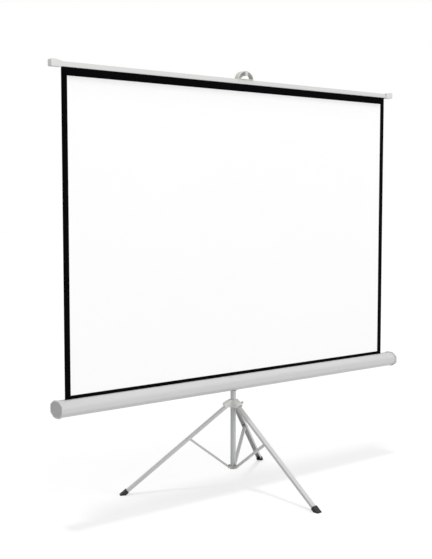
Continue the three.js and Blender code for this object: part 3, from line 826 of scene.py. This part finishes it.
class SCREEN_OT_carriage(bpy.types.Operator):
    """Make the carriage, its bush and the saddle on the back of the case"""

    bl_idname = "screen.carriage"
    bl_label = "Carriage"

    def execute(self, context):
        edge = sizes().edge
        add_copy("case_slider", "case_carriage", "plastic", "carriage", "grey_plastic",
                 bevel=edge * 1.6, segments=3)
        add_copy("slider_bush", "carriage_bush", "black", "carriage_bush", "black_plastic",
                 bevel=edge * 0.5)
        add_copy("back_saddle", "case_saddle", "bracket", "carriage", "bracket_steel", bevel=edge)
        return {"FINISHED"}


class SCREEN_OT_knobs(bpy.types.Operator):
    """Make the two lobed lock knobs and the knurled thumb screw on the crown"""

    bl_idname = "screen.knobs"
    bl_label = "Lock knobs"

    LOBE_DEPTH = 0.1  # share of the radius
    KNURL_DEPTH = 0.05
    KNURLS = 3  # to each lobe of a knob
    LOBED_FROM = 0.7  # share of the radius
    ROUND = 96
    FOOT = 0.86  # share of the radius
    EDGES = 5  # edge heights in a grip
    TOP = ((0.96, 0.4), (0.86, 0.1), (0.6, 0), (0.55, 0.3), (0, 0.3))  # of the radius, of the edge

    def execute(self, context):
        joints = {j["child"]: j for j in frame["joints"]}
        lobes = sizes().knob_lobes
        for name in ("carriage_knob", "collar_knob"):
            self.knob(joints[name], "black", "black_plastic", lobes, self.LOBE_DEPTH)
        self.knob(joints["crown_knob"], "zinc", "pin_steel", self.KNURLS * lobes, self.KNURL_DEPTH)
        return {"FINISHED"}

    def knob(self, joint, finish, slot, lobes, deep):
        name = joint["child"]
        axis = Vector(joint["axis"]).normalized()
        start = Vector((MAST.x, MAST.y, joint["pos_m"][2]))
        arms = [v.co - start for v in NODES[name].data.vertices]
        reach = [(arm @ axis, arm.cross(axis).length) for arm in arms]
        tip = min(h for h, r in reach)
        top = max(h for h, r in reach)
        grip = max(r for h, r in reach)
        stem = max(r for h, r in reach if h < tip + MM)
        base = min(h for h, r in reach if r > (grip + stem) / 2)

        def wave(angle, radius):
            depth = deep if radius > self.LOBED_FROM * grip else 0
            return 1 - depth * (0.5 - 0.5 * math.cos(lobes * angle)) ** 2

        profile = self.profile(base - tip, top - tip, stem, grip)
        piece = turned(profile, aimed(start + axis * tip, axis), self.ROUND, wave)
        add_piece(f"turned_{name}", piece, finish, name, slot, [name])

    def profile(self, base, top, stem, r):
        """The (radius, height) points of a stem and a grip with eased edges and a sunk top"""
        edge = (top - base) / self.EDGES
        return [(0, 0), (stem, 0), (stem, base), (r * self.FOOT, base), (r, base + edge),
                (r, top - edge), *((r * share, top - edge * drop) for share, drop in self.TOP)]


RIVET_SEGMENTS, RIVET_RINGS = 24, 12


def rivet_tree():
    """Domed heads set on the points of a mesh, each along its point's aim"""
    tree = bpy.data.node_groups.new("rivet_heads", "GeometryNodeTree")

    def socket(name, kind, way="INPUT"):
        made = tree.interface.new_socket(name, in_out=way, socket_type=f"NodeSocket{kind}")
        return made.identifier

    socket("Geometry", "Geometry")
    kinds = {"Radius": "Float", "Height": "Float", "Finish": "Material"}
    inputs = {name: socket(name, kind) for name, kind in kinds.items()}
    socket("Geometry", "Geometry", "OUTPUT")
    add, link = tree.nodes.new, tree.links.new
    given, result = add("NodeGroupInput"), add("NodeGroupOutput")
    ball = add("GeometryNodeMeshUVSphere")
    ball.inputs["Segments"].default_value = RIVET_SEGMENTS
    ball.inputs["Rings"].default_value = RIVET_RINGS
    ball.inputs["Radius"].default_value = 1
    scale = add("ShaderNodeCombineXYZ")
    aim = add("GeometryNodeInputNamedAttribute")
    aim.data_type = "FLOAT_VECTOR"
    aim.inputs["Name"].default_value = "aim"
    turn = add("FunctionNodeAlignRotationToVector")
    place = add("GeometryNodeInstanceOnPoints")
    real, paint = add("GeometryNodeRealizeInstances"), add("GeometryNodeSetMaterial")
    link(given.outputs["Radius"], scale.inputs["X"])
    link(given.outputs["Radius"], scale.inputs["Y"])
    link(given.outputs["Height"], scale.inputs["Z"])
    link(aim.outputs["Attribute"], turn.inputs["Vector"])
    link(given.outputs["Geometry"], place.inputs["Points"])
    link(ball.outputs["Mesh"], place.inputs["Instance"])
    link(turn.outputs["Rotation"], place.inputs["Rotation"])
    link(scale.outputs["Vector"], place.inputs["Scale"])
    link(place.outputs["Instances"], real.inputs["Geometry"])
    link(real.outputs["Geometry"], paint.inputs["Geometry"])
    link(given.outputs["Finish"], paint.inputs["Material"])
    link(paint.outputs["Geometry"], result.inputs["Geometry"])
    return tree, inputs


class SCREEN_OT_rivets(bpy.types.Operator):
    """Set domed heads on both ends of every pivot pin, one mesh for each body"""

    bl_idname = "screen.rivets"
    bl_label = "Rivets"

    PIN_WIDTH = 7 * MM  # more than a pin is wide, less than one is long

    def execute(self, context):
        tree, inputs = rivet_tree()
        groups = {"crown": [f"leg_pin_{side}" for side in LEGS]}
        for side in LEGS:
            groups[f"leg_{side}"] = [f"brace_pin_{side}"]
            groups[f"brace_{side}"] = [f"bracket_pin_{side}"]
        for body, pins in groups.items():
            self.heads(body, pins, tree, inputs)
        return {"FINISHED"}

    def heads(self, body, pins, tree, inputs):
        ends = [end for pin in pins for end in self.ends(pin)]
        mesh = bpy.data.meshes.new(f"rivet_points_{body}")
        mesh.from_pydata([place for place, aim in ends], [], [])
        attribute = mesh.attributes.new("aim", "FLOAT_VECTOR", "POINT")
        for i, (place, aim) in enumerate(ends):
            attribute.data[i].vector = aim
        piece = linked(f"rivets_{body}", mesh)
        nodes = piece.modifiers.new("heads", "NODES")
        nodes.node_group = tree
        nodes[inputs["Radius"]] = sizes().rivet_radius
        nodes[inputs["Height"]] = sizes().rivet_height
        nodes[inputs["Finish"]] = FINISHES["zinc"]
        flatten(piece)
        settle(piece, body)

    def ends(self, pin):
        """Both end points of a pin and the ways that they face"""
        points = [v.co for v in NODES[pin].data.vertices]
        middle = sum(points, Vector()) / len(points)
        far = max(points, key=lambda p: (p - middle).length)
        near_far = [p for p in points if (p - far).length < self.PIN_WIDTH]
        end = sum(near_far, Vector()) / len(near_far)
        axis = (end - middle).normalized()
        half = max((p - middle) @ axis for p in points)
        return [(middle + axis * half, axis), (middle - axis * half, -axis)]


class SCREEN_OT_hidden(bpy.types.Operator):
    """Finish the pieces inside the case, the rail and the joints"""

    bl_idname = "screen.hidden"
    bl_label = "Hidden pieces"

    def execute(self, context):
        roller = ["roller_tube", "roller_gudgeon_left", "roller_gudgeon_right", "roller_spring"]
        pins = [f"{pin}_{side}" for pin in ("leg_pin", "brace_pin", "bracket_pin") for side in LEGS]
        finishes = {
            "zinc": ["case_pivot_bolt", *roller, *pins],
            "coating": ["fabric_roll"],
            "handle": ["fabric_batten"],
        }
        for finish, nodes in finishes.items():
            for node in nodes:
                mesh = NODES[node].data
                mesh.materials.clear()
                mesh.materials.append(FINISHES[finish])
        return {"FINISHED"}


# Stage


class SCREEN_OT_stage(bpy.types.Operator):
    """Set the pale floor, the soft light and the camera"""

    bl_idname = "screen.stage"
    bl_label = "Stage"

    CAMERA = Vector((-2.9826, -3.4514, 1.3337))  # from the mast's foot
    TURN = 0.6953  # radians from +Y to +X
    FALL = 0.0798  # radians below level
    LENS, SENSOR = 64.476, 36  # millimetres
    FAR = 200
    FLOOR_REACH = 30
    FLOOR_GREY = 0.55  # share of the lamps' light that the camera sees on the floor
    FLOOR_GLOW = 0.5
    AMBIENT = 0.7
    LAMPS = {  # the way to the lamp, its strength and its spread in degrees
        "overhead": ((-0.16, -0.11, 1), 0.8, 7),
        "front": ((0.3, -1, 0.1), 1.31, 25),
    }

    def execute(self, context):
        scene = context.scene
        scene.view_settings.view_transform = "Standard"
        self.camera(scene)
        self.floor()
        self.world(scene)
        for name, (towards, strength, spread) in self.LAMPS.items():
            self.sun(name, towards, strength, spread)
        return {"FINISHED"}

    def camera(self, scene):
        data = bpy.data.cameras.new("camera")
        data.lens = self.LENS
        data.sensor_width = self.SENSOR
        data.clip_end = self.FAR
        camera = linked("camera", data)
        camera.location = Vector((MAST.x, MAST.y, 0)) + self.CAMERA
        level = math.cos(self.FALL)
        ahead = Vector((math.sin(self.TURN) * level, math.cos(self.TURN) * level,
                        -math.sin(self.FALL)))
        camera.rotation_euler = ahead.to_track_quat("-Z", "Y").to_euler()
        scene.camera = camera

    def floor(self):
        bm = bmesh.new()
        bmesh.ops.create_grid(bm, x_segments=1, y_segments=1, size=self.FLOOR_REACH)
        floor = linked("floor", mesh_of("floor", bm))
        floor.data.materials.append(self.floor_finish())

    def floor_finish(self):
        """White to the camera, with a faint share of the lamps' light so that shadows stay pale"""
        made = Recipe(bpy.data.materials.new("pale_floor"))
        plain = made.node("ShaderNodeBsdfDiffuse", sockets={"Color": shade(colours().floor, 1)})
        faint = made.node(
            "ShaderNodeBsdfDiffuse", sockets={"Color": shade(WHITE, self.FLOOR_GREY)})
        glow = made.node("ShaderNodeEmission", sockets={
            "Color": shade(WHITE, 1), "Strength": self.FLOOR_GLOW})
        pale = made.node("ShaderNodeAddShader", sockets={0: faint, 1: glow})
        return made.show(made.node(
            "ShaderNodeMixShader", sockets={0: made.seen(), 1: plain, 2: pale}))

    def world(self, scene):
        """White to the camera, and a plain even light on the object"""
        scene.world = bpy.data.worlds.new("studio")
        made = Recipe(scene.world, "ShaderNodeOutputWorld")
        light, white = (
            made.node("ShaderNodeBackground", sockets={
                "Color": shade(WHITE, 1), "Strength": strength})
            for strength in (self.AMBIENT, 1))
        made.show(made.node("ShaderNodeMixShader", sockets={0: made.seen(), 1: light, 2: white}))

    @staticmethod
    def sun(name, towards, strength, spread):
        data = bpy.data.lights.new(name, "SUN")
        data.energy = strength
        data.angle = math.radians(spread)
        lamp = linked(name, data)
        lamp.rotation_euler = (-Vector(towards)).to_track_quat("-Z", "Y").to_euler()


# The add-on's own parts

OPERATORS = (
    SCREEN_OT_stage, SCREEN_OT_fabric, SCREEN_OT_case, SCREEN_OT_rail, SCREEN_OT_handle,
    SCREEN_OT_mast, SCREEN_OT_tripod, SCREEN_OT_carriage, SCREEN_OT_knobs, SCREEN_OT_rivets,
    SCREEN_OT_hidden)


class SCREEN_PT_pieces(bpy.types.Panel):
    """Lists the sizes, the colours and the operators"""

    bl_label = "Projection screen"
    bl_idname = "SCREEN_PT_pieces"
    bl_space_type = "VIEW_3D"
    bl_region_type = "UI"
    bl_category = "Screen"

    def draw(self, context):
        for group in (context.scene.screen_sizes, context.scene.screen_colours):
            for name in group.bl_rna.properties.keys():
                if name not in ("name", "rna_type"):
                    self.layout.prop(group, name)
        for operator in OPERATORS:
            self.layout.operator(operator.bl_idname)


CLASSES = (ScreenSizes, ScreenColours, *OPERATORS, SCREEN_PT_pieces)


def register():
    for made in CLASSES:
        bpy.utils.register_class(made)
    bpy.types.Scene.screen_sizes = bpy.props.PointerProperty(type=ScreenSizes)
    bpy.types.Scene.screen_colours = bpy.props.PointerProperty(type=ScreenColours)


def unregister():
    del bpy.types.Scene.screen_colours
    del bpy.types.Scene.screen_sizes
    for made in reversed(CLASSES):
        bpy.utils.unregister_class(made)


def main():
    register()
    make_finishes()
    bpy.ops.screen.stage()
    bpy.ops.screen.fabric()
    bpy.ops.screen.case()
    bpy.ops.screen.rail()
    bpy.ops.screen.handle()
    bpy.ops.screen.mast()
    bpy.ops.screen.tripod()
    bpy.ops.screen.carriage()
    bpy.ops.screen.knobs()
    bpy.ops.screen.rivets()
    bpy.ops.screen.hidden()


if __name__ == "__main__":
    main()
